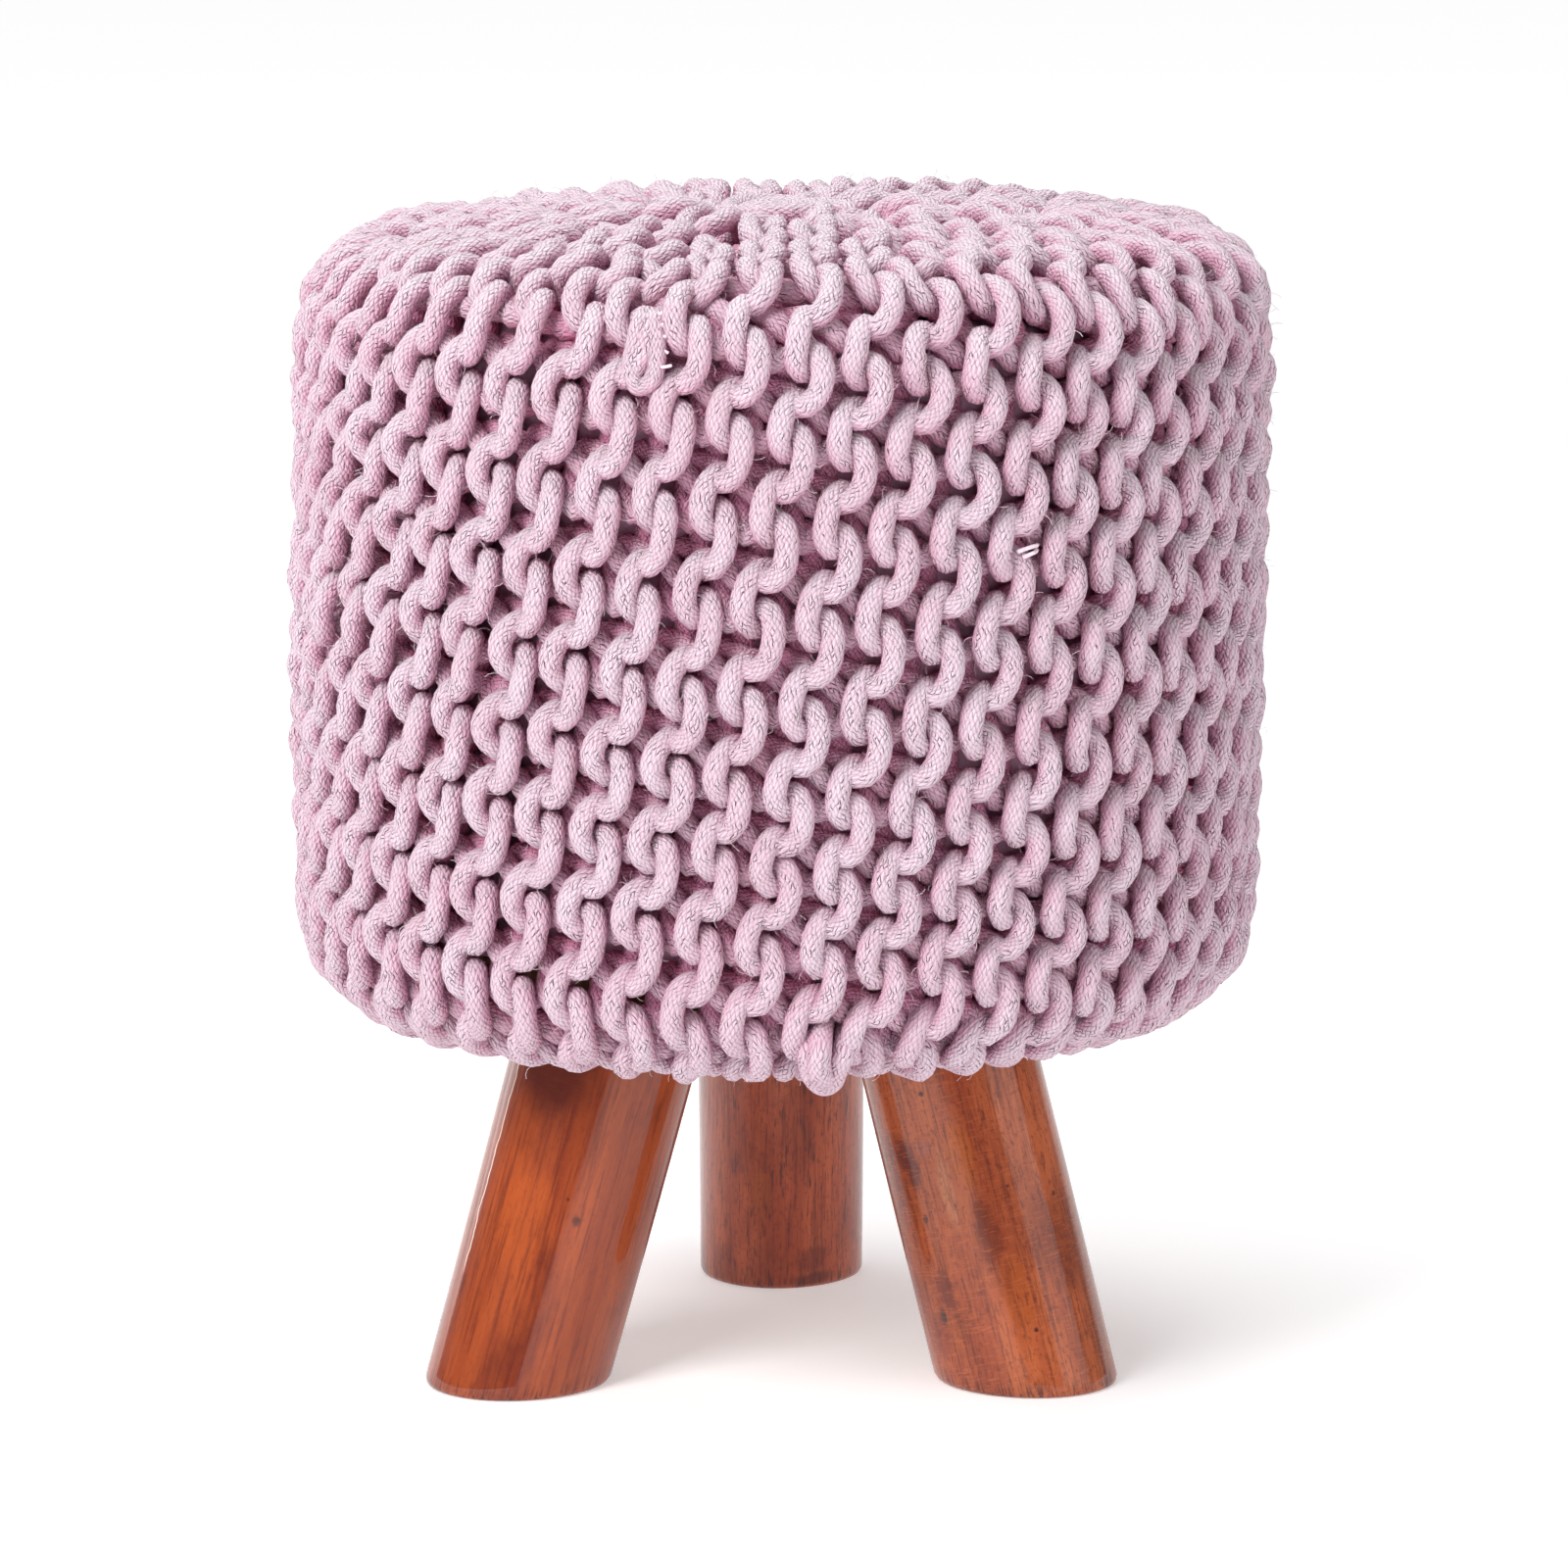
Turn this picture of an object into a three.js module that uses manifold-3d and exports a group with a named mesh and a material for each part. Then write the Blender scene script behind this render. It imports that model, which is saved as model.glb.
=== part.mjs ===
// A round knitted footstool: a cover knitted from thick braided cord is drawn over a filled drum-shaped pad,
// its hem is gathered under a round board, and three splayed round wooden legs are fixed to that board.
// Millimetres, +Z up. The origin is the centre of the footprint on the floor, and -Y is the front.
import * as THREE from "three";
import { mergeVertices } from "three/addons/utils/BufferGeometryUtils.js";
import Module from "manifold-3d";

const wasm = await Module();
wasm.setup();

// ---------------------------------------------------------------- driving dimensions
const SEAT_RADIUS = 175; // outer radius of the wall, over the crests of the ridges
const SEAT_BOTTOM = 130; // height of the underside of the knit
const SEAT_RIM = 416.5; // height of the crests where the top meets its rounded edge
const CROWN_RISE = 8; // how far the middle of the top stands above the rim
const WALL_BULGE = 1.7; // how far the middle of the wall swells out
const BOTTOM_CORNER = 37; // outer radius of the lower edge
const TOP_CORNER = 30; // outer radius of the upper edge
const KNIT_THICKNESS = 19.5; // crest of the knit to the face of the pad
const HEM_OPENING = 108; // radius of the opening in the hem under the seat
const FIT_GAP = 0.3; // clearance between pieces that touch

const LEAN = 1.5; // the soft drum leans this far to the right at its top, and as far left at its bottom
const SHOULDER_SAG = 5; // how far the left shoulder has sunk
const SHOULDER_AZIMUTH = -75; // degrees from the front towards +X
const SHOULDER_WIDTH = 42; // degrees, the spread of the sunk stretch

// The ridges of garter stitch run from the middle of the top, down the wall and under the edge.
const RIDGES = 50;
const RIDGE_DEPTH = 7; // crest to furrow on the wall
const RIDGE_FADE_RADIUS = 105; // nearer the middle than this the ridges crowd together and grow shallow
const RIDGE_TWIST = 17; // degrees that a ridge drifts round the drum on its way down
const STITCH_PITCH = 29; // length of one stitch along a ridge
const STITCH_SWAY = 0.17; // how far the loops of a ridge lean to either side, as a share of the ridge pitch
const CREST_SHARE = 0.2; // half the width of a crest, as a share of the ridge pitch
const POLE_RADIUS = 10; // the gathered ring in the middle of the top
const TOP_ROWS = 8; // rows of points between the upper edge and that ring
const HEM_SPARE = 6; // the skin of the knit starts this far inside the hem before the opening is cut

const BOARD_RADIUS = 137;
const BOARD_THICKNESS = 15;
const BOARD_EDGE = 2; // rounding of the board's edges

const FOOT_ROUNDING = 2; // worn edge around the foot of a leg
const LEGS = [
  { name: "leg_front_left", azimuth: -60, footRadius: 110.5, splay: 17.7, footDiameter: 64.4, topDiameter: 66.8 },
  { name: "leg_front_right", azimuth: 60, footRadius: 103.9, splay: 15.9, footDiameter: 64.1, topDiameter: 64.1 },
  { name: "leg_back", azimuth: 180, footRadius: 106.4, splay: 16.8, footDiameter: 62.6, topDiameter: 62.6 },
];

// ---------------------------------------------------------------- worked-out sizes
const CAVITY_RADIUS = SEAT_RADIUS - KNIT_THICKNESS;
const CAVITY_FLOOR = SEAT_BOTTOM + KNIT_THICKNESS;
const CAVITY_TOP = SEAT_RIM - KNIT_THICKNESS;
const CAVITY_LOW_CORNER = BOTTOM_CORNER - KNIT_THICKNESS;
const CAVITY_TOP_CORNER = 16;
const BOARD_BOTTOM = CAVITY_FLOOR + FIT_GAP;
const BOARD_TOP = BOARD_BOTTOM + BOARD_THICKNESS;
const PAD_BOTTOM = BOARD_TOP + FIT_GAP;
const PAD_LOW_CORNER = 6;
const AROUND_INSIDE = RIDGES; // segments around the pad, the board and the hollow of the cover
const AROUND_LEG = 32; // segments around a leg
const MID_HEIGHT = (SEAT_BOTTOM + SEAT_RIM) / 2;
const HALF_HEIGHT = (SEAT_RIM - SEAT_BOTTOM) / 2;

// ---------------------------------------------------------------- materials
const cordCotton = new THREE.MeshStandardMaterial({ color: 0xdcc0cc, roughness: 0.95, metalness: 0 });
const casingCloth = new THREE.MeshStandardMaterial({ color: 0xd9b4cc, roughness: 0.85, metalness: 0 });
const plainPlywood = new THREE.MeshStandardMaterial({ color: 0xc9a77c, roughness: 0.7, metalness: 0 });
const varnishedWood = new THREE.MeshStandardMaterial({ color: 0x9c4f2c, roughness: 0.3, metalness: 0 });

// ---------------------------------------------------------------- small helpers
const radians = (degrees) => (degrees * Math.PI) / 180;

function arc(centre, radius, from, to, steps) {
  const points = [];
  for (let i = 0; i <= steps; i += 1) {
    const angle = radians(from + ((to - from) * i) / steps);
    points.push([centre[0] + radius * Math.cos(angle), centre[1] + radius * Math.sin(angle)]);
  }
  return points;
}

// The rounded upper edge of a drum and its domed top, as [radius, height] points from the wall inwards.
// The dome is a parabola that leaves the rounded edge without a kink and stops at the inner radius.
function domedTop(side, rim, corner, innerRadius, edgeSteps, domeSteps) {
  const edgeRadius = side - corner;
  const tilt = (Math.atan((2 * CROWN_RISE) / edgeRadius) * 180) / Math.PI;
  const edge = arc([edgeRadius, rim - corner], corner, 0, 90 - tilt, edgeSteps);
  const [domeRadius, domeHeight] = edge[edgeSteps];
  const dome = [];
  for (let i = 1; i <= domeSteps; i += 1) {
    const radius = domeRadius + ((innerRadius - domeRadius) * i) / domeSteps;
    dome.push([radius, domeHeight + CROWN_RISE * (1 - (radius / domeRadius) ** 2)]);
  }
  return [...edge, ...dome];
}

// A closed solid turned about Z from [radius, height] points that start and end on the axis.
function turned(profile, segments) {
  const points = profile.map(([radius, height]) => new THREE.Vector2(radius, height));
  return new THREE.LatheGeometry(points, segments).rotateX(Math.PI / 2);
}

function solidOf(geometry) {
  const bare = geometry.clone();
  bare.deleteAttribute("normal");
  bare.deleteAttribute("uv");
  const merged = mergeVertices(bare, 1e-4);
  return new wasm.Manifold(
    new wasm.Mesh({
      numProp: 3,
      vertProperties: merged.attributes.position.array,
      triVerts: new Uint32Array(merged.index.array),
    }),
  );
}

function geometryOf(solid) {
  const mesh = solid.getMesh();
  const geometry = new THREE.BufferGeometry();
  geometry.setAttribute("position", new THREE.BufferAttribute(mesh.vertProperties, 3));
  geometry.setIndex(new THREE.BufferAttribute(mesh.triVerts, 1));
  geometry.computeVertexNormals();
  return geometry;
}

function namedMesh(name, geometry, material) {
  const mesh = new THREE.Mesh(geometry, material);
  mesh.name = name;
  return mesh;
}

// ---------------------------------------------------------------- the knitted cover
// The crest line of the knit from the hem's edge, under the seat, up the wall and in to the middle of the top,
// as [radius, height] points about half a stitch apart.
function crestLine() {
  const lowCentre = [SEAT_RADIUS - BOTTOM_CORNER, SEAT_BOTTOM + BOTTOM_CORNER];
  const wallTop = SEAT_RIM - TOP_CORNER;
  const halfStitch = STITCH_PITCH / 2;
  const wallSteps = Math.round((wallTop - lowCentre[1]) / halfStitch);
  const wall = [];
  for (let i = 1; i < wallSteps; i += 1) {
    const share = i / wallSteps;
    const height = lowCentre[1] + (wallTop - lowCentre[1]) * share;
    wall.push([SEAT_RADIUS + WALL_BULGE * Math.sin(Math.PI * share), height]);
  }
  return [
    [HEM_OPENING - HEM_SPARE, SEAT_BOTTOM],
    ...arc(lowCentre, BOTTOM_CORNER, -90, 0, 3),
    ...wall,
    ...domedTop(SEAT_RADIUS, SEAT_RIM, TOP_CORNER, POLE_RADIUS, 3, TOP_ROWS),
  ];
}

// The outward direction of the crest line at each of its points.
function outward(line, i) {
  const before = line[Math.max(i - 1, 0)];
  const after = line[Math.min(i + 1, line.length - 1)];
  const along = new THREE.Vector2(after[0] - before[0], after[1] - before[1]).normalize();
  return [along.y, -along.x];
}

// How far the soft drum departs from a true one: it leans a little, and its left shoulder has sunk.
function settled(point, azimuth) {
  const rise = (point.z - MID_HEIGHT) / HALF_HEIGHT;
  const away = (azimuth - radians(SHOULDER_AZIMUTH)) / radians(SHOULDER_WIDTH);
  const nearTop = THREE.MathUtils.smoothstep(point.z, SEAT_RIM - 90, SEAT_RIM);
  const outside = THREE.MathUtils.smoothstep(Math.hypot(point.x, point.y), 60, 150);
  point.x += LEAN * rise;
  point.z -= SHOULDER_SAG * Math.exp(-away * away) * nearTop * outside;
  return point;
}

function coverOutside() {
  const line = crestLine();
  const pitchAngle = (2 * Math.PI) / RIDGES;
  const rows = [];
  line.forEach(([radius, height], i) => {
    const [outR, outZ] = outward(line, i);
    const spread = (radius - POLE_RADIUS) / (RIDGE_FADE_RADIUS - POLE_RADIUS);
    const depth = RIDGE_DEPTH * Math.min(1, spread);
    const twist = radians(RIDGE_TWIST) * ((height - MID_HEIGHT) / (2 * HALF_HEIGHT));
    const sway = (i % 2 === 0 ? 1 : -1) * STITCH_SWAY;
    const ring = [];
    for (let ridge = 0; ridge < RIDGES; ridge += 1) {
      const stops = [
        { across: -0.5, sunk: depth },
        { across: sway - CREST_SHARE, sunk: 0 },
        { across: sway + CREST_SHARE, sunk: 0 },
      ];
      for (const { across, sunk } of stops) {
        const azimuth = (ridge + across) * pitchAngle + twist;
        const reach = radius - outR * sunk;
        const point = new THREE.Vector3(
          reach * Math.sin(azimuth),
          -reach * Math.cos(azimuth),
          height - outZ * sunk,
        );
        const around = Math.atan2(Math.sin(azimuth), Math.cos(azimuth));
        ring.push(settled(point, around));
      }
    }
    rows.push(ring);
  });
  return closedRows(rows, [0, 0, SEAT_BOTTOM], [LEAN, 0, SEAT_RIM + CROWN_RISE]);
}

// A closed skin over rows of points that go up from the bottom, each running from the front towards +X.
function closedRows(rows, bottomCentre, topCentre) {
  const around = rows[0].length;
  const positions = [];
  rows.forEach((row) => row.forEach((p) => positions.push(p.x, p.y, p.z)));
  positions.push(...bottomCentre, ...topCentre);
  const bottom = rows.length * around;
  const top = bottom + 1;
  const faces = [];
  for (let j = 0; j < around; j += 1) {
    const next = (j + 1) % around;
    faces.push(bottom, next, j);
    for (let i = 0; i + 1 < rows.length; i += 1) {
      const a = i * around + j;
      const b = i * around + next;
      const c = a + around;
      const d = b + around;
      faces.push(a, b, d, a, d, c);
    }
    const last = (rows.length - 1) * around;
    faces.push(last + j, last + next, top);
  }
  const geometry = new THREE.BufferGeometry();
  geometry.setAttribute("position", new THREE.Float32BufferAttribute(positions, 3));
  geometry.setIndex(faces);
  return geometry;
}

// The hollow of the cover, with the opening of the hem below it.
function coverHollow() {
  const lowCentre = [CAVITY_RADIUS - CAVITY_LOW_CORNER, CAVITY_FLOOR + CAVITY_LOW_CORNER];
  const below = SEAT_BOTTOM - KNIT_THICKNESS;
  const profile = [
    [0, below],
    [HEM_OPENING, below],
    [HEM_OPENING, CAVITY_FLOOR],
    ...arc(lowCentre, CAVITY_LOW_CORNER, -90, 0, 3),
    ...domedTop(CAVITY_RADIUS, CAVITY_TOP, CAVITY_TOP_CORNER, 0, 3, 4),
  ];
  return turned(profile, AROUND_INSIDE);
}

function knittedCover() {
  const solid = solidOf(coverOutside()).subtract(solidOf(coverHollow()));
  return namedMesh("knitted_cover", geometryOf(solid), cordCotton);
}

// ---------------------------------------------------------------- the pad and the board
function filledPad() {
  const side = CAVITY_RADIUS - FIT_GAP;
  const profile = [
    [0, PAD_BOTTOM],
    ...arc([side - PAD_LOW_CORNER, PAD_BOTTOM + PAD_LOW_CORNER], PAD_LOW_CORNER, -90, 0, 2),
    ...domedTop(side, CAVITY_TOP - FIT_GAP, CAVITY_TOP_CORNER, 0, 3, 4),
  ];
  return namedMesh("filled_pad", turned(profile, AROUND_INSIDE), casingCloth);
}

function baseBoard() {
  const profile = [
    [0, BOARD_BOTTOM],
    [BOARD_RADIUS - BOARD_EDGE, BOARD_BOTTOM],
    [BOARD_RADIUS, BOARD_BOTTOM + BOARD_EDGE],
    [BOARD_RADIUS, BOARD_TOP - BOARD_EDGE],
    [BOARD_RADIUS - BOARD_EDGE, BOARD_TOP],
    [0, BOARD_TOP],
  ];
  return namedMesh("base_board", turned(profile, AROUND_INSIDE), plainPlywood);
}

// ---------------------------------------------------------------- the legs
// A leg is a round billet cut level at the floor and under the board, so its level sections are ellipses
// that slide inwards with height.
function leg({ name, azimuth, footRadius, splay, footDiameter, topDiameter }) {
  const footEdge = footDiameter / 2;
  const top = BOARD_BOTTOM - FIT_GAP;
  const profile = [
    [0, 0],
    [footEdge - FOOT_ROUNDING, 0],
    [footEdge - 0.3 * FOOT_ROUNDING, 0.3 * FOOT_ROUNDING],
    [footEdge, FOOT_ROUNDING],
    [topDiameter / 2, top],
    [0, top],
  ];
  const slope = Math.tan(radians(splay));
  const stretch = 1 / Math.cos(radians(splay));
  const lean = new THREE.Matrix4().set(stretch, 0, -slope, footRadius, 0, 1, 0, 0, 0, 0, 1, 0, 0, 0, 0, 1);
  const geometry = turned(profile, AROUND_LEG).applyMatrix4(lean);
  geometry.rotateZ(radians(azimuth - 90));
  return namedMesh(name, geometry, varnishedWood);
}

// ---------------------------------------------------------------- the whole footstool
const footstool = new THREE.Group();
footstool.add(knittedCover(), filledPad(), baseBoard());
LEGS.forEach((row) => footstool.add(leg(row)));

export default footstool;
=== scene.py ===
"""A round footstool with a cover knitted from thick braided cotton cord.

The cover is drawn over a filled pad and stands on three splayed, varnished legs. Metres, +Z up, -Y the front.

The cover is garter stitch turned on its side. Its cord rows run from the hem under the seat, up the wall and
in over the top, and each pair of rows makes one ridge. Every row is one cord whose loops are worked out from
the stitch's own sizes, and a node tree sweeps the braided cord along it.
"""

import math

import bpy
import numpy as np
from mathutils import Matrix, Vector


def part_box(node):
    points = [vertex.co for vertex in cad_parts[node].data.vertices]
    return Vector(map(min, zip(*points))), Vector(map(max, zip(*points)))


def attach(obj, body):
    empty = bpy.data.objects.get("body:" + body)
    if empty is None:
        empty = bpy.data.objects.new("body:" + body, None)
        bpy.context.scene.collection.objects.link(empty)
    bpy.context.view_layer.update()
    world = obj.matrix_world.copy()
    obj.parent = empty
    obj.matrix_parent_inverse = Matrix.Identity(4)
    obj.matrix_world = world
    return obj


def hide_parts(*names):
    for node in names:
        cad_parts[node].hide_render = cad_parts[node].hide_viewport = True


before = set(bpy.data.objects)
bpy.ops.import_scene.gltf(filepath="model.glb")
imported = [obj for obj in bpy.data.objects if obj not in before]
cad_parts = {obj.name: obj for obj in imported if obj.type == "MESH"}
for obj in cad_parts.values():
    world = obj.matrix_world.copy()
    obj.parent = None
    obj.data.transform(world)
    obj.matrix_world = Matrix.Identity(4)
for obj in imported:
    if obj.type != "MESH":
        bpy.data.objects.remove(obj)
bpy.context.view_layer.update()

MM = 0.001

# ------------------------------------------------------------------ sizes of the seat
SEAT_RADIUS = 175 * MM  # over the crests of the ridges
SEAT_BOTTOM = 130 * MM
SEAT_RIM = 416.5 * MM
CROWN_RISE = 8 * MM
WALL_BULGE = 1.7 * MM
BOTTOM_CORNER = 37 * MM
TOP_CORNER = 30 * MM
HEM_RADIUS = 112 * MM
POLE_RADIUS = 9 * MM
LEAN = 1.5 * MM
SHOULDER_SAG = 5 * MM
SHOULDER_AZIMUTH = math.radians(-75)
SHOULDER_WIDTH = math.radians(42)
SHOULDER_REACH = 90 * MM  # the sag fades out over this, down the wall and in over the top
SHOULDER_INNER = 60 * MM
MID_HEIGHT = (SEAT_BOTTOM + SEAT_RIM) / 2
HALF_HEIGHT = (SEAT_RIM - SEAT_BOTTOM) / 2

# ------------------------------------------------------------------ sizes of the knitting
CORD_RADIUS = 4.25 * MM
CORD_SIDES = 10
CORD_LUMPS = 0.9 * MM
ROWS = 100  # cord rows round the drum, two to a ridge
WEDGES = 10  # the top is ten wedges of short rows, the longest in the middle of each
ROWS_IN_WEDGE = ROWS // WEDGES
FIRST_SEAM = 3  # the row that starts the first wedge
PANELS = 5  # pieces that the cover is made in here
STITCH = 29 * MM  # length of one stitch along a row
STITCH_DROP = 5  # a course climbs by this many stitches in one turn of the drum
STEPS_IN_STITCH = 24
ROW_PITCH = 2 * math.pi * SEAT_RADIUS / ROWS
LOOP_FRONT = 7.0 * MM  # how far heads and feet lie in front of the middle of the fabric
# The way of the cord through one stitch, in mm: across the row, along it, and out from the fabric's middle.
# Rows are knit and purl by turns. A knit row shows its right-hand arcs in front, a purl row its left-hand
# arcs.
KNIT_STITCH = (
    (-10.9, 0.0, -6.8),  # middle of the arc on the back
    (-8.6, 8.0, -6.6),
    (0.6, 7.3, -3.0),  # lower leg, behind the purl arc
    (6.3, 4.3, 5.8),  # foot of the front arc, over the purl arc
    (10.4, 8.6, 7.2),
    (11.2, 14.2, 8.2),
    (10.4, 20.0, 6.6),
    (7.0, 24.0, 3.6),  # head of the front arc
    (0.3, 20.8, -2.0),  # upper leg, behind the purl arc
    (-6.8, 18.4, -0.2),  # and in the furrow
)
PURL_STITCH = (
    (-11.3, -2.3, 7.8),  # middle of the front arc
    (-10.6, 2.9, 6.4),
    (-7.6, 6.6, 3.2),
    (-2.0, 6.4, -2.0),  # upper leg, under the knit foot
    (4.4, 2.9, 0.0),  # and sloping down across the furrow
    (9.6, 0.2, -2.4),
    (11.6, 8.8, -6.8),  # middle of the arc on the back
    (8.2, 19.6, -6.6),
    (0.4, 20.0, -3.4),  # lower leg, behind the knit arc
    (-6.4, 17.2, 4.0),
    (-10.5, 21.2, 6.6),
)
RIDGE_TWIST = math.radians(17)
TWIST_CHANGE = 0.18  # the ridges lean more on the left of the front than on its right
COURSE_WAVE = 8 * MM  # and so do the courses
COURSE_WAVE_TURN = 0.26
TOP_FULL_RADIUS = 140 * MM  # inside this the short rows start to end
TOP_BLEND = 0.12
LEAST_ROOM = 0.04  # share of its width that a row keeps at the very middle of the top
KNIT_MIDDLE = LOOP_FRONT + CORD_RADIUS  # crest of the knit to the middle of the fabric

# How uneven the loops are: each by itself, and in slow drifts of the whole fabric
UNEVEN_WIDTH = 0.055
UNEVEN_ALONG = 0.8 * MM
UNEVEN_DEPTH = 0.45 * MM
UNEVEN_DEPTH_ON_TOP = 1.1 * MM
DRIFT_WAVES = 9
DRIFT_ALONG = 2.1 * MM
DRIFT_ACROSS = 0.15  # of a row
# On the top the loops are squashed together, and those in front stand up
TOP_EASE = 50 * MM
TOP_START = 100 * MM  # before the end of the shortest rows
STAND_UP = 0.45
STAND_UP_FROM = 6.5 * MM
FRONT_EASE = 4 * MM
# Each end of a row dives into the fabric
END_DIVE = 2.2 * CORD_RADIUS
END_DIVE_STITCHES = 0.25

# ------------------------------------------------------------------ loose ends
# Each mark is its azimuth in degrees, then its distance from the hem and its depth in mm.
TUCKED_END = (
    (-16.6, 298, 2.0),
    (-16.3, 294, 8.5),
    (-16.6, 288, 10.5),
    (-17.0, 281, 10.3),
    (-16.4, 275.5, 9.4),
    (-15.0, 276.5, 9.0),
    (-14.3, 281, 9.2),
    (-14.3, 288, 9.2),
    (-14.8, 294, 7.8),
    (-14.8, 298, 2.0),
)
TUCKED_YARNS = (
    ((-14.8, 295, 8), (-13.9, 295.6, 10), (-12.9, 296, 9)),
    ((-14.8, 292, 8), (-13.8, 292.8, 10), (-12.8, 294, 8)),
    ((-14.6, 289.5, 8), (-13.8, 290, 10), (-13.1, 290.5, 9)),
    ((-14.6, 288, 8), (-13.7, 287.5, 10), (-12.9, 286.5, 9)),
    ((-14.4, 282.5, 8), (-13.4, 282, 11), (-12.4, 282.5, 10)),
)
YARN_STUBS = (
    ((31.2, 218, 4), (30.2, 218.3, 8), (28.8, 218, 10), (27.4, 217, 10)),
    ((31.0, 216.6, 4), (30.2, 216.4, 8), (29.3, 216, 10), (28.1, 215, 10)),
)
FLUFF_MIDDLE = np.array((32.0, 214.0, 9.5))
FLUFF_SPREAD = np.array((0.3, 0.9, 0.9))
# The loop that hangs from the hem, in mm
HEM_BIGHT = (
    (
        (10.6, -156, 154),
        (10.2, -167, 147.5),
        (10.6, -163.5, 140.5),
        (12.6, -158.5, 134.8),
        (15.4, -157, 132.6),
        (18.2, -158.5, 134.6),
        (19.9, -163, 140),
        (22, -165, 146),
        (23.5, -154, 153),
    ),
    ((14.6, -158, 156), (13.9, -170, 149), (13.6, -168.5, 142), (15.0, -163, 136.8), (17.2, -154, 135.5)),
)
COIL_TURNS = 2.75
COIL_MARKS = 34
COIL_RADIUS = 23.0  # mm, of which it loses COIL_STEP a turn
COIL_STEP = 7.4
FIBRES_PER_SQUARE_METRE = 8000.0
FIBRES_FROM_FRONT = 1.4  # fibres stand on the outer side only, where cord_front is over this
FIBRE_LENGTH = 3.6 * MM
FIBRE_RADIUS = 0.07 * MM

rng = np.random.default_rng(11)


# ------------------------------------------------------------------ the form of the seat
def seat_profile():
    """The middle of the knitted fabric as tables of radius, height and distance from the hem."""
    depth = KNIT_MIDDLE
    low = np.array([SEAT_RADIUS - BOTTOM_CORNER, SEAT_BOTTOM + BOTTOM_CORNER])
    edge = SEAT_RADIUS - TOP_CORNER
    top = np.array([edge, SEAT_RIM - TOP_CORNER])
    tilt = math.atan(2 * CROWN_RISE / edge)
    under = [np.array([HEM_RADIUS, SEAT_BOTTOM + depth])]
    turn = np.radians(np.linspace(-90, 0, 24))
    low_arc = low + (BOTTOM_CORNER - depth) * np.stack([np.cos(turn), np.sin(turn)], 1)
    share = np.linspace(0, 1, 40)[1:-1]
    wall = np.stack(
        [SEAT_RADIUS - depth + WALL_BULGE * np.sin(np.pi * share), low[1] + (top[1] - low[1]) * share], 1
    )
    turn = np.linspace(0, math.pi / 2 - tilt, 24)
    top_arc = top + (TOP_CORNER - depth) * np.stack([np.cos(turn), np.sin(turn)], 1)
    radius = np.linspace(top_arc[-1, 0], 0, 40)[1:]
    dome = np.stack([radius, top_arc[-1, 1] + CROWN_RISE * (1 - (radius / top_arc[-1, 0]) ** 2)], 1)
    line = np.vstack([under, low_arc, wall, top_arc, dome])
    run = np.concatenate([[0], np.cumsum(np.linalg.norm(np.diff(line, axis=0), axis=1))])
    even = np.arange(0, run[-1], MM)
    radius = np.interp(even, run, line[:, 0])
    height = np.interp(even, run, line[:, 1])
    return even, radius, height


RUN, RUN_RADIUS, RUN_HEIGHT = seat_profile()
RUN_OUT_R = np.gradient(RUN_HEIGHT, RUN)
RUN_OUT_Z = -np.gradient(RUN_RADIUS, RUN)


def eased(share):
    """From 0 to 1 with a soft start and a soft end."""
    share = np.clip(share, 0, 1)
    return share**2 * (3 - 2 * share)


def settled(points):
    """The soft drum leans a little, and its left shoulder has sunk."""
    x, y, z = points.T
    rise = (z - MID_HEIGHT) / HALF_HEIGHT
    azimuth = np.arctan2(x, -y)
    away = (azimuth - SHOULDER_AZIMUTH) / SHOULDER_WIDTH
    near_top = eased((z - SEAT_RIM + SHOULDER_REACH) / SHOULDER_REACH)
    outside = eased((np.hypot(x, y) - SHOULDER_INNER) / SHOULDER_REACH)
    sag = SHOULDER_SAG * np.exp(-away * away) * near_top * outside
    return np.stack([x + LEAN * rise, y, z - sag], 1)


def off_fabric(run, azimuth, depth):
    """Points of the settled seat, a depth out from the middle of the fabric."""
    reach = np.interp(run, RUN, RUN_RADIUS) + depth * np.interp(run, RUN, RUN_OUT_R)
    height = np.interp(run, RUN, RUN_HEIGHT) + depth * np.interp(run, RUN, RUN_OUT_Z)
    return settled(np.stack([reach * np.sin(azimuth), -reach * np.cos(azimuth), height], 1))


def on_seat(run, row, depth, wedge):
    """Points of the fabric from distance from the hem, row number and depth, within one wedge."""
    radius = np.interp(run, RUN, RUN_RADIUS)
    height = np.interp(run, RUN, RUN_HEIGHT)
    short = 1 - radius / TOP_FULL_RADIUS
    on_top = height > SEAT_RIM - TOP_CORNER
    crowding = np.where(on_top, 0.5 * (short + np.sqrt(short**2 + TOP_BLEND**2)), 0)
    middle = (wedge + 0.5) * ROWS_IN_WEDGE + FIRST_SEAM
    spread = (row - middle) / np.maximum(1 - crowding, LEAST_ROOM)
    around = (middle + spread) * 2 * math.pi / ROWS
    lean = RIDGE_TWIST * (1 - TWIST_CHANGE * np.sin(around))
    azimuth = around + lean * (height - MID_HEIGHT) / (2 * HALF_HEIGHT)
    return off_fabric(run, azimuth, depth)


def add_piece(name, data):
    """A new object at the origin."""
    piece = bpy.data.objects.new(name, data)
    bpy.context.scene.collection.objects.link(piece)
    return piece


# ------------------------------------------------------------------ the rows of loops
def drift_field():
    """A slow, seeded drift of the whole fabric, the same for rows that lie beside each other."""
    waves = []
    for _ in range(DRIFT_WAVES):
        waves.append((rng.integers(1, 7), rng.uniform(10, 45), rng.uniform(0, 2 * math.pi), rng.normal()))
    return waves


ALONG_WAVES = drift_field()
ACROSS_WAVES = drift_field()


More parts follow.
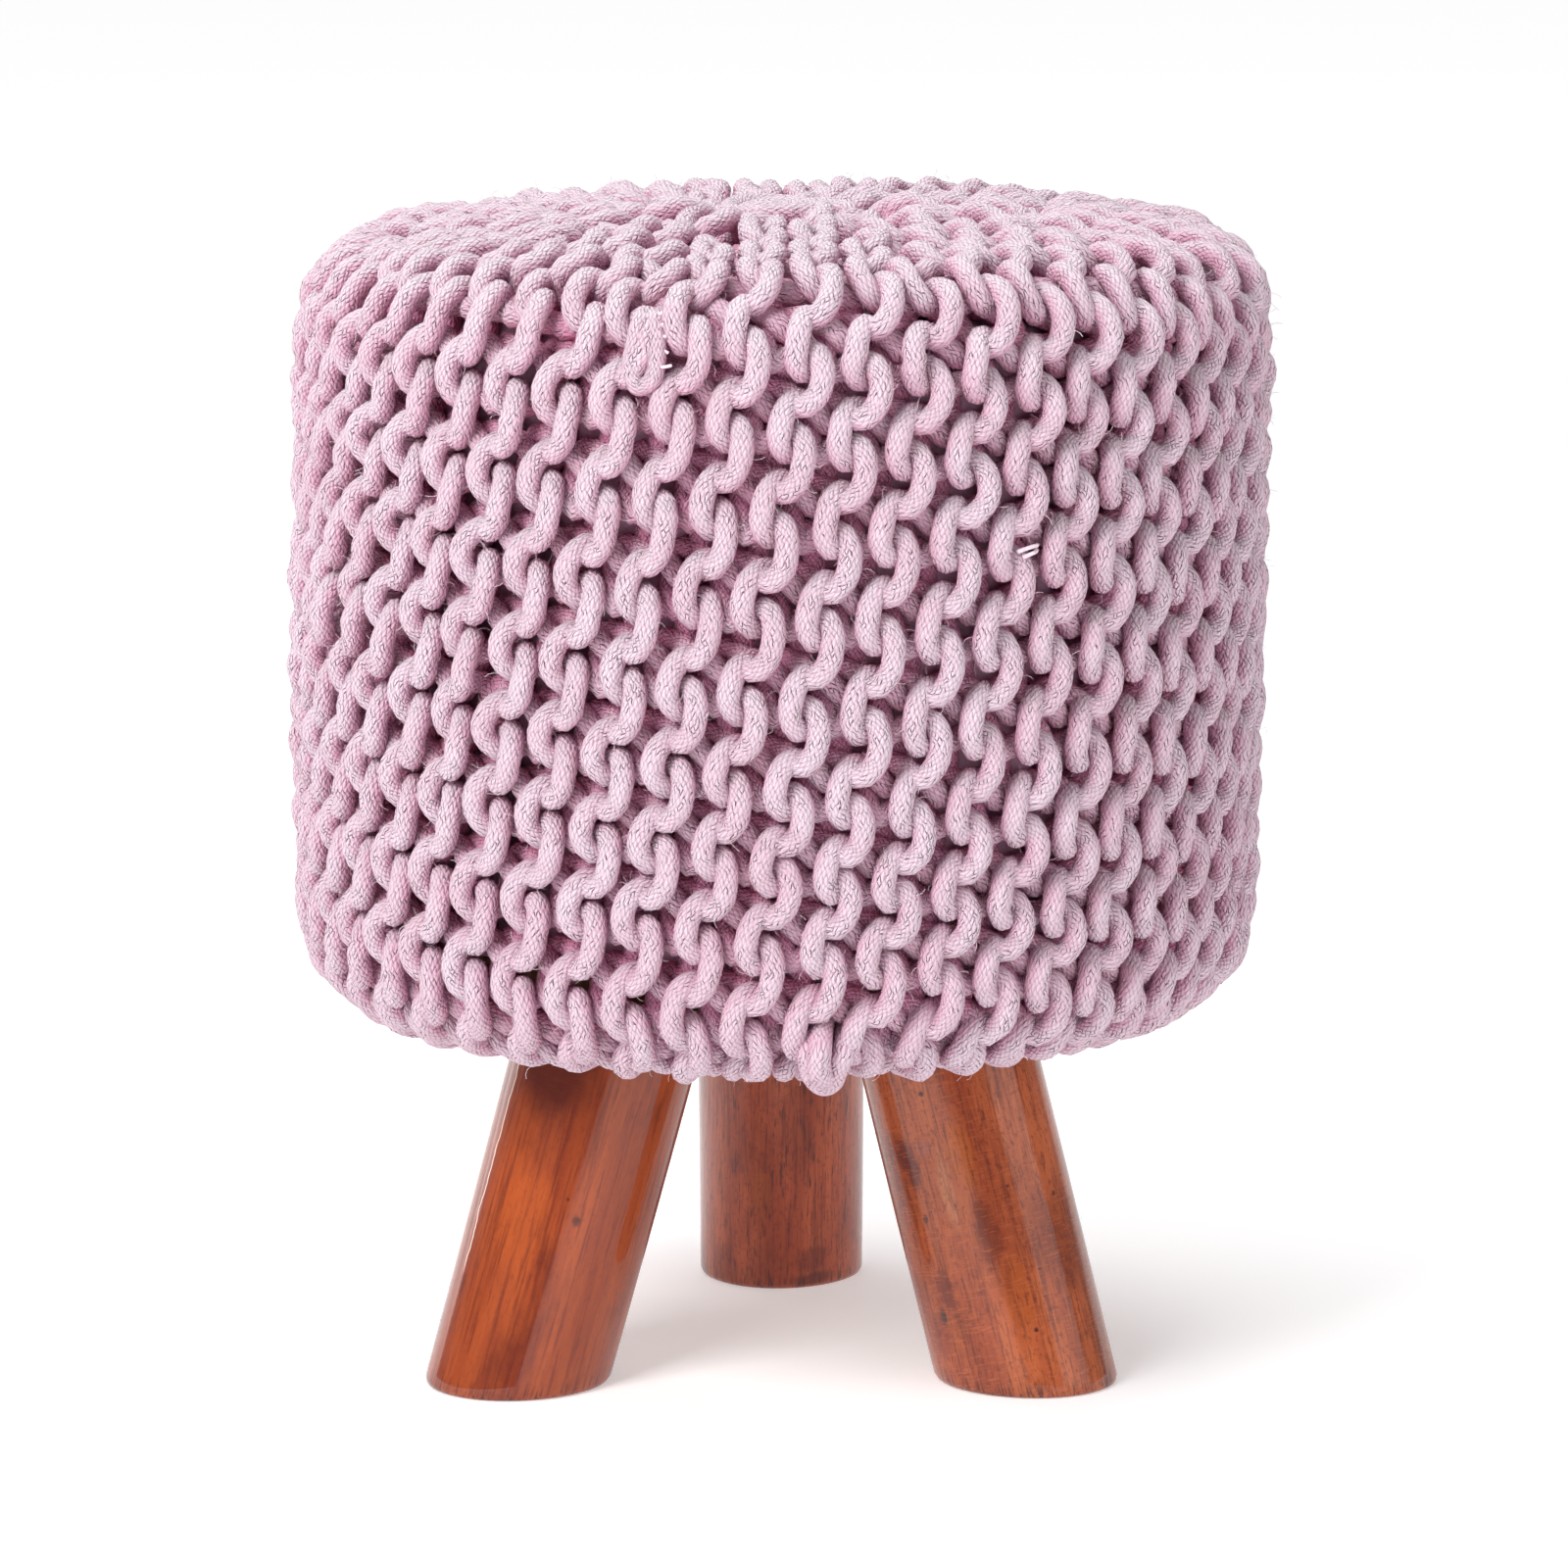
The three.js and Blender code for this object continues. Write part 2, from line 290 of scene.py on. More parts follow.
def drift(waves, run, row):
    """How far a drift has gone at a distance from the hem and a row."""
    total = 0
    for around, along, phase, size in waves:
        total = total + size * np.sin(around * row * 2 * math.pi / ROWS + along * run + phase)
    return total / math.sqrt(len(waves))


def course_wave(row):
    """How far the courses have slid up or down at a row."""
    turn = row * 2 * math.pi / ROWS + COURSE_WAVE_TURN
    return COURSE_WAVE * (np.cos(turn) - math.cos(COURSE_WAVE_TURN))


def curve_through(before, start, stop, after, share):
    """The point of a smooth line at a share of the way from its mark start to its mark stop."""
    bend = 2 * before - 5 * start + 4 * stop - after
    twist = 3 * (start - stop) + after - before
    return start + 0.5 * share * (stop - before + share * (bend + share * twist))


def stitch_path(marks, t):
    """The smooth cord through the marks of a stitch, at t stitches along the row."""
    marks = np.array(marks) * MM
    count = len(marks)
    lift = np.array([0, STITCH, 0])
    place = t * count
    step = np.floor(place).astype(int)
    share = (place - step)[:, None]

    def mark(index):
        return marks[index % count] + (index // count)[:, None] * lift

    return curve_through(*(mark(step + n) for n in (-1, 0, 1, 2)), share)


def row_end(row_in_wedge):
    """How far from the hem a row runs before it is turned back on the top."""
    from_middle = abs(row_in_wedge + 0.5 - ROWS_IN_WEDGE / 2)
    radius = max(POLE_RADIUS, TOP_FULL_RADIUS * from_middle / (ROWS_IN_WEDGE / 2))
    dome = RUN_HEIGHT > SEAT_RIM - TOP_CORNER
    return float(np.interp(-radius, -RUN_RADIUS[dome], RUN[dome]))


def cord_row(number):
    """The centreline of one cord row, from the hem to its end on the top."""
    wedge, row_in_wedge = divmod(number - FIRST_SEAM, ROWS_IN_WEDGE)
    shift = STITCH * STITCH_DROP / ROWS
    slide = course_wave(number + 0.5)
    first = math.ceil((number * shift - slide) / STITCH * 2) / 2
    last = math.floor((row_end(row_in_wedge) + number * shift - slide) / STITCH * 2) / 2
    count = int(round((last - first) * STEPS_IN_STITCH)) + 1
    t = np.linspace(first, last, count)
    beat = t - first
    size = int(count / STEPS_IN_STITCH) + 3

    def uneven(strength):
        """A seeded value at every stitch, and between them in proportion."""
        return np.interp(beat, np.arange(size), rng.normal(0, strength, size))

    across, along, depth = stitch_path(KNIT_STITCH if number % 2 == 0 else PURL_STITCH, t).T
    across = across * (1 + uneven(UNEVEN_WIDTH))
    along = along + uneven(UNEVEN_ALONG)
    on_top = np.clip((along - row_end(0) + TOP_START) / TOP_EASE, 0, 1)
    in_front = np.clip(depth / FRONT_EASE, 0, 1)
    depth = depth + STAND_UP * on_top * in_front * (depth - STAND_UP_FROM)
    depth = depth + uneven(UNEVEN_DEPTH) + on_top * uneven(UNEVEN_DEPTH_ON_TOP)
    from_end = np.minimum(beat, last - t)
    depth = depth - END_DIVE * np.clip(1 - from_end / END_DIVE_STITCHES, 0, 1) ** 2
    row = number + 0.5 + across / ROW_PITCH
    run = along - row * shift + course_wave(row)
    run = run + DRIFT_ALONG * drift(ALONG_WAVES, run, row)
    row = row + DRIFT_ACROSS * drift(ACROSS_WAVES, run, row)
    return on_seat(run, row, depth, wedge), depth


def cord_curve(name, lines):
    """A curve object with one spline for each line of points; its radius keeps their depth."""
    curve = bpy.data.curves.new(name, "CURVE")
    curve.dimensions = "3D"
    for points, depth in lines:
        spline = curve.splines.new("POLY")
        spline.points.add(len(points) - 1)
        flat = np.concatenate([points, np.ones((len(points), 1))], 1).astype(np.float32)
        spline.points.foreach_set("co", flat.ravel())
        spline.points.foreach_set("radius", (1 + depth / LOOP_FRONT).astype(np.float32))
    return add_piece(name, curve)


def smooth_line(marks, steps=7):
    """A smooth line of points through a few marks."""
    marks = np.array(marks, float)
    marks = np.vstack([2 * marks[0] - marks[1], marks, 2 * marks[-1] - marks[-2]])
    line = []
    for number in range(1, len(marks) - 2):
        for share in np.arange(steps) / steps:
            line.append(curve_through(*marks[number - 1 : number + 3], share))
    line.append(marks[-2])
    return np.array(line)


def on_drum(marks):
    """Points of the seat from azimuth in degrees, distance from the hem and depth in mm."""
    azimuth, run, depth = np.array(marks, float).T
    return off_fabric(run * MM, np.radians(azimuth), depth * MM)


def crown_coil():
    """Marks of the tail of the cord, coiled into the gathered middle of the crown."""
    marks = []
    for turn in np.linspace(0, COIL_TURNS, COIL_MARKS):
        radius = (COIL_RADIUS - COIL_STEP * turn + 0.9 * math.sin(9 * turn)) * MM
        angle = 2 * math.pi * turn
        dip = 1.0 + 0.3 * turn + 0.8 * math.sin(14 * turn)
        height = SEAT_RIM + CROWN_RISE - CORD_RADIUS - dip * MM
        marks.append((radius * math.cos(angle), radius * math.sin(angle), height))
    marks[0] = (marks[0][0], marks[0][1], marks[0][2] - 2 * CORD_RADIUS)
    marks.append((0, 0, marks[-1][2] - 2 * CORD_RADIUS))
    return np.array(marks)


# ------------------------------------------------------------------ node trees
class Graph:
    """Short calls that add nodes to one tree and link them."""

    def __init__(self, tree):
        self.tree = tree
        self.nodes = tree.nodes
        self.links = tree.links

    def put(self, socket, value):
        """Links the value where it is another node's socket, and otherwise sets it."""
        if isinstance(value, bpy.types.NodeSocket):
            self.links.new(value, socket)
        elif socket.type == "RGBA":
            socket.default_value = (*value, 1)
        else:
            socket.default_value = value

    def node(self, kind, inputs=None, **settings):
        """A new node with its settings, and its inputs filled by name or number."""
        made = self.nodes.new(kind)
        for name, value in settings.items():
            setattr(made, name, value)
        for key, value in (inputs or {}).items():
            self.put(made.inputs[key], value)
        return made

    def maths(self, operation, a, b=0.0):
        return self.node("ShaderNodeMath", {0: a, 1: b}, operation=operation).outputs[0]

    def times(self, a, b):
        return self.maths("MULTIPLY", a, b)

    def plus(self, a, b):
        return self.maths("ADD", a, b)

    def less(self, a, b):
        return self.maths("SUBTRACT", a, b)


def new_growth(name, inputs):
    """A geometry node tree with named inputs, of which the material is the last."""
    tree = bpy.data.node_groups.new(name, "GeometryNodeTree")
    for label, kind in (*inputs, ("Material", "Material")):
        tree.interface.new_socket(label, in_out="INPUT", socket_type="NodeSocket" + kind)
    tree.interface.new_socket("Geometry", in_out="OUTPUT", socket_type="NodeSocketGeometry")
    g = Graph(tree)
    return g, g.node("NodeGroupInput").outputs


def finish_growth(g, given, geometry):
    """Makes what a tree has grown real and gives it its material."""
    real = g.node("GeometryNodeRealizeInstances", {"Geometry": geometry}).outputs[0]
    dressed = g.node("GeometryNodeSetMaterial", {"Geometry": real, "Material": given["Material"]})
    g.node("NodeGroupOutput", {"Geometry": dressed.outputs[0]})
    return g.tree


def grown(name, source, tree, inputs):
    """A plain mesh of what a tree makes of the source object, which is then removed."""
    growth = source.modifiers.new("growth", "NODES")
    growth.node_group = tree
    for item in tree.interface.items_tree:
        if item.in_out == "INPUT" and item.name in inputs:
            growth[item.identifier] = inputs[item.name]
    bpy.context.view_layer.update()
    made = source.evaluated_get(bpy.context.evaluated_depsgraph_get())
    mesh = bpy.data.meshes.new_from_object(made)
    mesh.name = name
    bpy.data.objects.remove(source)
    return add_piece(name, mesh)


def braided_cord_tree():
    """Sweeps a round cord along every spline, and keeps on its skin how far along and round a point is."""
    sizes = (("Geometry", "Geometry"), ("Radius", "Float"), ("Sides", "Int"), ("Lumps", "Float"))
    g, given = new_growth("braided_cord", sizes)

    def keep(geometry, value, name):
        inputs = {"Geometry": geometry, "Value": value, "Name": name}
        kept = g.node("GeometryNodeStoreNamedAttribute", inputs, data_type="FLOAT", domain="POINT")
        return kept.outputs["Geometry"]

    path_length = g.node("GeometryNodeSplineParameter").outputs["Length"]
    path = keep(given["Geometry"], path_length, "cord_along")
    path = keep(path, g.node("GeometryNodeInputRadius").outputs[0], "cord_front")

    ring = g.node("GeometryNodeCurvePrimitiveCircle", {"Radius": 1.0, "Resolution": given["Sides"]})
    angle = g.times(g.node("GeometryNodeSplineParameter").outputs["Factor"], 2 * math.pi)
    section = keep(ring.outputs["Curve"], g.maths("COSINE", angle), "cord_cos")
    section = keep(section, g.maths("SINE", angle), "cord_sin")
    sweep = g.node(
        "GeometryNodeCurveToMesh",
        {"Curve": path, "Profile Curve": section, "Scale": given["Radius"], "Fill Caps": True},
    )

    lump = g.node("ShaderNodeTexNoise", {"Scale": 190.0, "Detail": 1.0}).outputs[0]
    swell = g.times(g.less(lump, 0.5), given["Lumps"])
    outward = g.node("GeometryNodeInputNormal").outputs[0]
    move = g.node("ShaderNodeVectorMath", {0: outward, "Scale": swell}, operation="SCALE").outputs[0]
    lumpy = g.node("GeometryNodeSetPosition", {"Geometry": sweep.outputs["Mesh"], "Offset": move})
    smooth = g.node("GeometryNodeSetShadeSmooth", {"Geometry": lumpy.outputs["Geometry"]})
    return finish_growth(g, given, smooth.outputs[0])


def swept_cord(name, lines, tree, material, radius, sides, lumps):
    """A plain mesh of the cord swept along the lines."""
    inputs = {"Radius": radius, "Sides": sides, "Lumps": lumps, "Material": material}
    return grown(name, cord_curve(name + "_path", lines), tree, inputs)


def loose_fibre_tree(panels):
    """Scatters short bent fibres over the outer side of the knitted cord."""
    sizes = (("Per square metre", "Float"), ("Length", "Float"), ("Thickness", "Float"), ("Seed", "Int"))
    g, given = new_growth("loose_fibres", sizes)
    skin = g.node("GeometryNodeJoinGeometry")
    for panel in panels:
        source = g.node("GeometryNodeObjectInfo", {"Object": panel})
        g.links.new(source.outputs["Geometry"], skin.inputs[0])
    front = g.node("GeometryNodeInputNamedAttribute", {"Name": "cord_front"}).outputs["Attribute"]
    inputs = {
        "Mesh": skin.outputs[0],
        "Selection": g.maths("GREATER_THAN", front, FIBRES_FROM_FRONT),
        "Density": given["Per square metre"],
        "Seed": given["Seed"],
    }
    scatter = g.node("GeometryNodeDistributePointsOnFaces", inputs)

    # A random value node's sockets 0 and 1 are the limits of a vector, 2 and 3 those of a number.
    def random_vector(low, high, seed):
        inputs = {0: (low, low, low), 1: (high, high, high), "Seed": seed}
        return g.node("FunctionNodeRandomValue", inputs, data_type="FLOAT_VECTOR").outputs[0]

    spin = g.node("FunctionNodeEulerToRotation", {0: random_vector(0.0, 6.28, 3)}).outputs[0]
    heading = {0: scatter.outputs["Normal"], 1: random_vector(-1.1, 1.1, 5)}
    heading = g.node("ShaderNodeVectorMath", heading, operation="ADD").outputs[0]
    stand = g.node("FunctionNodeAlignRotationToVector", {"Rotation": spin, "Vector": heading}, axis="Z")

    # One fibre, a unit long
    inputs = {"Resolution": 2, "Start": (0, 0, -0.1), "Middle": (0, 0, 0.6), "End": (0.5, 0, 0.75)}
    bend = g.node("GeometryNodeCurveQuadraticBezier", inputs).outputs[0]
    thin = g.maths("DIVIDE", given["Thickness"], given["Length"])
    ring = g.node("GeometryNodeCurvePrimitiveCircle", {"Resolution": 3, "Radius": thin}).outputs["Curve"]
    inputs = {"Curve": bend, "Profile Curve": ring, "Fill Caps": True}
    fibre = g.node("GeometryNodeCurveToMesh", inputs).outputs[0]

    share = g.node("FunctionNodeRandomValue", {2: 0.45, 3: 1.5, "Seed": 9}, data_type="FLOAT")
    inputs = {
        "Points": scatter.outputs["Points"],
        "Instance": fibre,
        "Rotation": stand.outputs[0],
        "Scale": g.times(given["Length"], share.outputs[1]),
    }
    return finish_growth(g, given, g.node("GeometryNodeInstanceOnPoints", inputs).outputs[0])


def loose_fibres(name, panels, material, per_square_metre, length, thickness, seed):
    """A plain mesh of the stray fibres that stand off the panels."""
    holder = add_piece(name + "_holder", bpy.data.meshes.new(name + "_holder"))
    tree = loose_fibre_tree(panels)
    inputs = {"Per square metre": per_square_metre, "Length": length, "Thickness": thickness}
    piece = grown(name, holder, tree, {**inputs, "Seed": seed, "Material": material})
    bpy.data.node_groups.remove(tree)
    return piece


# ------------------------------------------------------------------ materials
class Finish(Graph):
    """A material with one shader, and short calls for the maths of its colour and relief."""

    def __init__(self, name, rough, specular=0.5):
        self.material = bpy.data.materials.new(name)
        self.material.use_nodes = True
        super().__init__(self.material.node_tree)
        self.nodes.clear()
        self.shader = self.node("ShaderNodeBsdfPrincipled")
        self.node("ShaderNodeOutputMaterial", {"Surface": self.shader.outputs[0]})
        self.set("Roughness", rough)
        self.set("Specular IOR Level", specular)

    def set(self, name, value):
        self.put(self.shader.inputs[name], value)

    def place(self):
        return self.node("ShaderNodeTexCoord").outputs["Object"]

    def normal(self):
        return self.node("ShaderNodeNewGeometry").outputs["Normal"]

    def attribute(self, name, output="Fac"):
        return self.node("ShaderNodeAttribute", attribute_name=name).outputs[output]

    def parts(self, value):
        return self.node("ShaderNodeSeparateXYZ", {0: value}).outputs

    def vector(self, operation, a, b=(0, 0, 0)):
        made = self.node("ShaderNodeVectorMath", {0: a, 1: b}, operation=operation)
        return made.outputs["Value" if operation in ("LENGTH", "DOT_PRODUCT") else "Vector"]

    def blend(self, share, a, b, way="MIX", kind="RGBA"):
        inputs = {"Factor": share, "A": a, "B": b}
        return self.node("ShaderNodeMix", inputs, data_type=kind, blend_type=way).outputs["Result"]

    def noise(self, place, scale, detail=2.0, rough=0.5):
        inputs = {"Vector": place, "Scale": scale, "Detail": detail, "Roughness": rough}
        return self.node("ShaderNodeTexNoise", inputs).outputs["Fac"]

    def stretch(self, place, factors, shift=(0, 0, 0)):
        inputs = {"Vector": place, "Scale": factors, "Location": shift}
        return self.node("ShaderNodeMapping", inputs).outputs["Vector"]

    def between(self, value, low, high, start=0.0, stop=1.0):
        """Eases from start to stop while the value goes from low to high."""
        inputs = {"Value": value, "From Min": low, "From Max": high, "To Min": start, "To Max": stop}
        return self.node("ShaderNodeMapRange", inputs, interpolation_type="SMOOTHSTEP").outputs["Result"]

    def bump(self, height, strength, distance, coat=""):
        raised = self.node("ShaderNodeBump", {"Height": height, "Strength": strength, "Distance": distance})
        self.set(coat + "Normal", raised.outputs[0])


def braided_cotton():
    """Cotton cord braided from two sets of strands that cross over and under each other round it."""
    strands = 14
    plait = 2.9 * MM
    pale = (0.97, 0.775, 0.895)
    rosy = (0.93, 0.66, 0.78)
    fuzzy = (0.96, 0.83, 0.90)
    painted_crevice_shade = (0.74, 0.30, 0.46)
    dark_fleck = (0.11, 0.03, 0.055)
    # deep is the tint of painted shade, multiplied in low in the fabric and on the sides of the cord.
    deep = (0.98, 0.50, 0.69)
    painted_top_light = (0.98, 0.87, 0.94)
    w = Finish("braided_cotton", rough=0.93, specular=0.12)
    place = w.place()
    front = w.attribute("cord_front")
    angle = w.maths("ARCTAN2", w.attribute("cord_sin"), w.attribute("cord_cos"))
    wobble = w.times(w.less(w.noise(place, 420.0, 1.0), 0.5), 0.9)
    forward = w.plus(w.times(w.attribute("cord_along"), 1 / plait), wobble)
    around = w.times(angle, strands / (2 * math.pi))
    right = w.plus(forward, around)
    left = w.less(forward, around)
    right_strand = w.maths("FLOOR", right)
    left_strand = w.maths("FLOOR", left)
    odd = w.maths("ABSOLUTE", w.maths("MODULO", w.plus(right_strand, left_strand), 2.0))
    right_part = w.maths("FRACT", right)
    left_part = w.maths("FRACT", left)
    cross = w.blend(odd, right_part, left_part, kind="FLOAT")
    length = w.blend(odd, left_part, right_part, kind="FLOAT")
    bulge = w.maths("SINE", w.times(cross, math.pi))
    dip = w.maths("SINE", w.times(length, math.pi))
    slant = w.plus(cross, w.times(length, 0.35))
    plies = w.maths("ABSOLUTE", w.maths("SINE", w.times(slant, 9.4)))
    height = w.times(w.maths("POWER", bulge, 0.6), w.plus(0.55, w.times(dip, 0.45)))
    height = w.plus(height, w.times(plies, 0.10))
    fine = w.noise(place, 3200.0, 2.0, 0.7)
    patch = w.noise(place, 38.0, 3.0, 0.6)
    strand = w.node("ShaderNodeCombineXYZ", {0: right_strand, 1: left_strand}).outputs[0]
    chance = w.node("ShaderNodeTexWhiteNoise", {"Vector": strand}).outputs["Value"]
    flecked = w.between(w.plus(chance, w.noise(place, 120.0, 1.0)), 1.27, 1.33)
    fleck = w.times(w.times(w.between(bulge, 0.72, 0.42), w.between(dip, 0.2, 0.6)), flecked)
    colour = w.blend(w.between(patch, 0.35, 0.65), pale, rosy)
    colour = w.blend(w.between(fine, 0.35, 0.75, 0.0, 0.45), colour, fuzzy)
    # Painted shade in the crevices between the strands, where the braid is low.
    colour = w.blend(w.between(height, 0.75, 0.25, 0.0, 0.62), colour, painted_crevice_shade)
    # Dark flecks at the edges of the strands, in random cells of the braid.
    colour = w.blend(w.times(fleck, 0.95), colour, dark_fleck)
    # Painted shade deepens the pink low in the fabric and on the sides of the cord, and painted light pales
    # the tops.
    colour = w.blend(w.between(front, 1.45, 0.2, 0.0, 0.95), colour, deep, "MULTIPLY")
    heading = w.vector("NORMALIZE", w.vector("SUBTRACT", place, (0, 0, MID_HEIGHT)))
    facing = w.vector("DOT_PRODUCT", heading, w.normal())
    colour = w.blend(w.between(facing, 0.85, -0.1, 0.0, 0.55), colour, deep, "MULTIPLY")
    # Painted light on the upward-facing tops of the front loops.
    top_light_share = w.between(w.parts(w.normal())["Z"], 0.3, 0.95, 0.0, 0.5)
    colour = w.blend(w.times(top_light_share, w.between(front, 1.1, 1.8)), colour, painted_top_light)
    w.set("Base Color", colour)
    w.set("Sheen Weight", 0.2)
    w.set("Sheen Roughness", 0.55)
    w.bump(w.plus(height, w.times(fine, 0.55)), 1.0, 1.1 * MM)
    return w.material


def loose_cotton():
    """Single cotton fibres and yarns that have come out of the braid, nearly white at their tips."""
    w = Finish("loose_cotton", rough=0.85, specular=0.2)
    place = w.place()
    tint = w.noise(place, 300.0, 2.0, 0.6)
    twist = w.noise(w.stretch(place, (2600, 2600, 900)), 1.0, 2.0, 0.6)
    colour = w.blend(w.between(tint, 0.35, 0.65), (0.95, 0.72, 0.83), (0.97, 0.86, 0.91))
    colour = w.blend(w.between(twist, 0.5, 0.7, 0.0, 0.6), colour, (0.78, 0.45, 0.58))
    w.set("Base Color", colour)
    w.bump(twist, 0.8, 0.3 * MM)
    return w.material


def varnished_wood(name, shift, tones, marks, varnish, mottle, dashes, fiddle, painted_reflection=0.0):
    """Stained, varnished branch wood: streaks, pores, mottle, cross figure, marks, knots and painted light.

    Places are in the leg's own straight frame, which the leg's skin carries. A mark is its centre and half
    width in mm, how tall it is for its width, how strongly it shows, its colour, and how deep it is pitted.
    """
    pore = (0.10, 0.018, 0.012)
    chipped = (0.06, 0.012, 0.008)
    painted_reflection_colour = (0.86, 0.70, 0.62)
    w = Finish(name, rough=0.42, specular=0.12)
    place = w.attribute("leg_place", "Vector")

    def grain(factors, detail, rough):
        return w.noise(w.stretch(place, factors, shift), 1.0, detail, rough)

    bright, middle, dark = tones
    streaks = grain((75, 75, 7), 4.0, 0.6)
    lines = grain((520, 520, 24), 3.0, 0.65)
    short_dashes = grain((1300, 1300, 110), 2.0, 0.55)
    blotch = grain((34, 34, 19), 4.0, 0.6)
    speckle = grain((700, 700, 420), 2.0, 0.6)
    figure = grain((170, 170, 1500), 2.0, 0.6)
    foot = grain((900, 900, 60), 1.0, 0.5)
    colour = w.blend(w.between(streaks, 0.34, 0.66), middle, bright)
    colour = w.blend(w.between(blotch, 0.46, 0.70, 0.0, 0.6), colour, dark)
    rise = w.times(w.between(short_dashes, 0.55, 0.70), -0.8)
    for centre, size, tall, share, shade, pit in marks:
        size *= MM
        away = w.vector("SUBTRACT", place, [value * MM for value in centre])
        far = w.vector("LENGTH", w.stretch(away, (1 / size, 1 / size, 1 / size / tall)))
        ragged = w.plus(far, w.times(w.noise(place, 0.7 / size, 3.0, 0.6), 1.1))
        colour = w.blend(w.between(ragged, 2.0, 1.1, 0.0, share), colour, shade)
        if pit:
            rise = w.plus(rise, w.between(ragged, 1.4, 0.9, 0.0, -pit))
    colour = w.blend(w.between(lines, 0.48, 0.66, 0.0, 0.55), colour, dark)
    colour = w.blend(w.between(speckle, 0.50, 0.72, 0.0, mottle), colour, dark)
    colour = w.blend(w.between(figure, 0.50, 0.70, 0.0, fiddle), colour, bright)
    colour = w.blend(w.between(short_dashes, 0.55, 0.70, 0.0, dashes), colour, pore)
    low = w.between(w.parts(w.place())["Z"], 8 * MM, 2 * MM)
    chips = w.times(low, w.between(foot, 0.52, 0.62))
    colour = w.blend(w.times(chips, 0.75), colour, chipped)
    # A pale wavy line down the outer face from 32 mm up: a painted reflection along the edge of the varnish.
    if painted_reflection:
        across, outward, up = w.parts(place)
        bend = w.times(w.less(w.noise(w.stretch(place, (0, 0, 60)), 1.0, 3.0), 0.5), 7 * MM)
        off = w.maths("ABSOLUTE", w.plus(w.plus(across, 1.2 * MM), bend))
        line = w.times(w.between(off, 0.45 * MM, 0.15 * MM), w.between(up, 32 * MM, 40 * MM))
        line = w.times(line, w.between(outward, 0.0, 10 * MM))
        colour = w.blend(w.times(line, painted_reflection), colour, painted_reflection_colour)
    w.set("Base Color", colour)
    w.set("Coat Weight", 0.75)
    w.set("Coat IOR", 1.52)
    w.set("Coat Roughness", varnish)
    w.bump(w.plus(rise, w.times(lines, 0.8)), 0.35, 0.25 * MM)
    ripples = w.plus(w.noise(place, 70.0, 2.0), w.times(speckle, 0.3))
    w.bump(ripples, 5 * varnish, 0.15 * MM, coat="Coat ")
    return w.material


def board_plywood():
    """The underside of the seat board: plain rotary-cut ply with long open grain."""
    w = Finish("board_plywood", rough=0.7)
    grain = w.noise(w.stretch(w.place(), (14, 150, 40)), 1.0, 4.0, 0.6)
    rays = w.noise(w.stretch(w.place(), (60, 900, 90)), 1.0, 2.0, 0.6)
    colour = w.blend(w.between(grain, 0.35, 0.65), (0.60, 0.42, 0.25), (0.43, 0.27, 0.14))
    colour = w.blend(w.between(rays, 0.55, 0.75, 0.0, 0.6), colour, (0.25, 0.14, 0.07))
    w.set("Base Color", colour)
    w.bump(w.plus(grain, rays), 0.3, 0.2 * MM)
    return w.material


def casing_cloth():
    """Plain lilac cloth of the filled casing, which shows in the holes of the knit."""
    w = Finish("casing_cloth", rough=0.8)
    weave = w.noise(w.place(), 1500.0, 2.0, 0.6)
    w.set("Base Color", w.blend(w.between(weave, 0.3, 0.7), (0.76, 0.42, 0.58), (0.86, 0.54, 0.72)))
    w.bump(weave, 0.3, 0.2 * MM)
    return w.material


# ------------------------------------------------------------------ turned pieces
def skin_mesh(name, verts, faces, material):
    """A mesh that is smooth but for its flat ends, which have more sides than four."""
    mesh = bpy.data.meshes.new(name)
    mesh.from_pydata(verts, [], faces)
    mesh.polygons.foreach_set("use_smooth", [len(face) <= 4 for face in faces])
    mesh.materials.append(material)
    return mesh


def turned_mesh(name, profile, segments, material):
    """A closed mesh turned about Z from radius and height points that start and end on the axis."""
    verts, faces = [(0, 0, profile[0][1])], []
    inner = profile[1:-1]
    for radius, height in inner:
        for i in range(segments):
            angle = 2 * math.pi * i / segments
            verts.append((radius * math.cos(angle), radius * math.sin(angle), height))
    verts.append((0, 0, profile[-1][1]))
    end = len(verts) - 1
    for i in range(segments):
        j = (i + 1) % segments
        faces.append((0, 1 + j, 1 + i))
        for k in range(len(inner) - 1):
            a = 1 + k * segments
            b = a + segments
            faces.append((a + i, a + j, b + j, b + i))
        last = 1 + (len(inner) - 1) * segments
        faces.append((last + i, last + j, end))
    return add_piece(name, skin_mesh(name, verts, faces, material))


CASING_CORNER = 14 * MM
CASING_PLAY = 1.5 * MM  # between the casing and its place in the cover


def filled_pad(material):
    """The filled casing: round lower and upper corners, and a crowned top."""
    low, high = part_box("filled_pad")
    side = high.x - CASING_PLAY
    corner = CASING_CORNER
    profile = [(0, low.z)]
    for i in range(7):
        angle = math.radians(-90 + 15 * i)
        height = low.z + corner + corner * math.sin(angle)
        profile.append((side - corner + corner * math.cos(angle), height))
    for i in range(1, 12):
        share = i / 12
        profile.append((side, low.z + corner + (high.z - low.z - 3 * corner) * share))
    rim = high.z - CROWN_RISE - CASING_PLAY
    for i in range(7):
        angle = math.radians(14 * i)
        profile.append((side - corner + corner * math.cos(angle), rim - corner + corner * math.sin(angle)))
    for i in range(1, 12):
        radius = (side - corner) * (1 - i / 12)
        profile.append((radius, rim + CROWN_RISE * (1 - (radius / (side - corner)) ** 2)))
    profile.append((0, rim + CROWN_RISE))
    return turned_mesh("filled_casing", profile, 96, material)


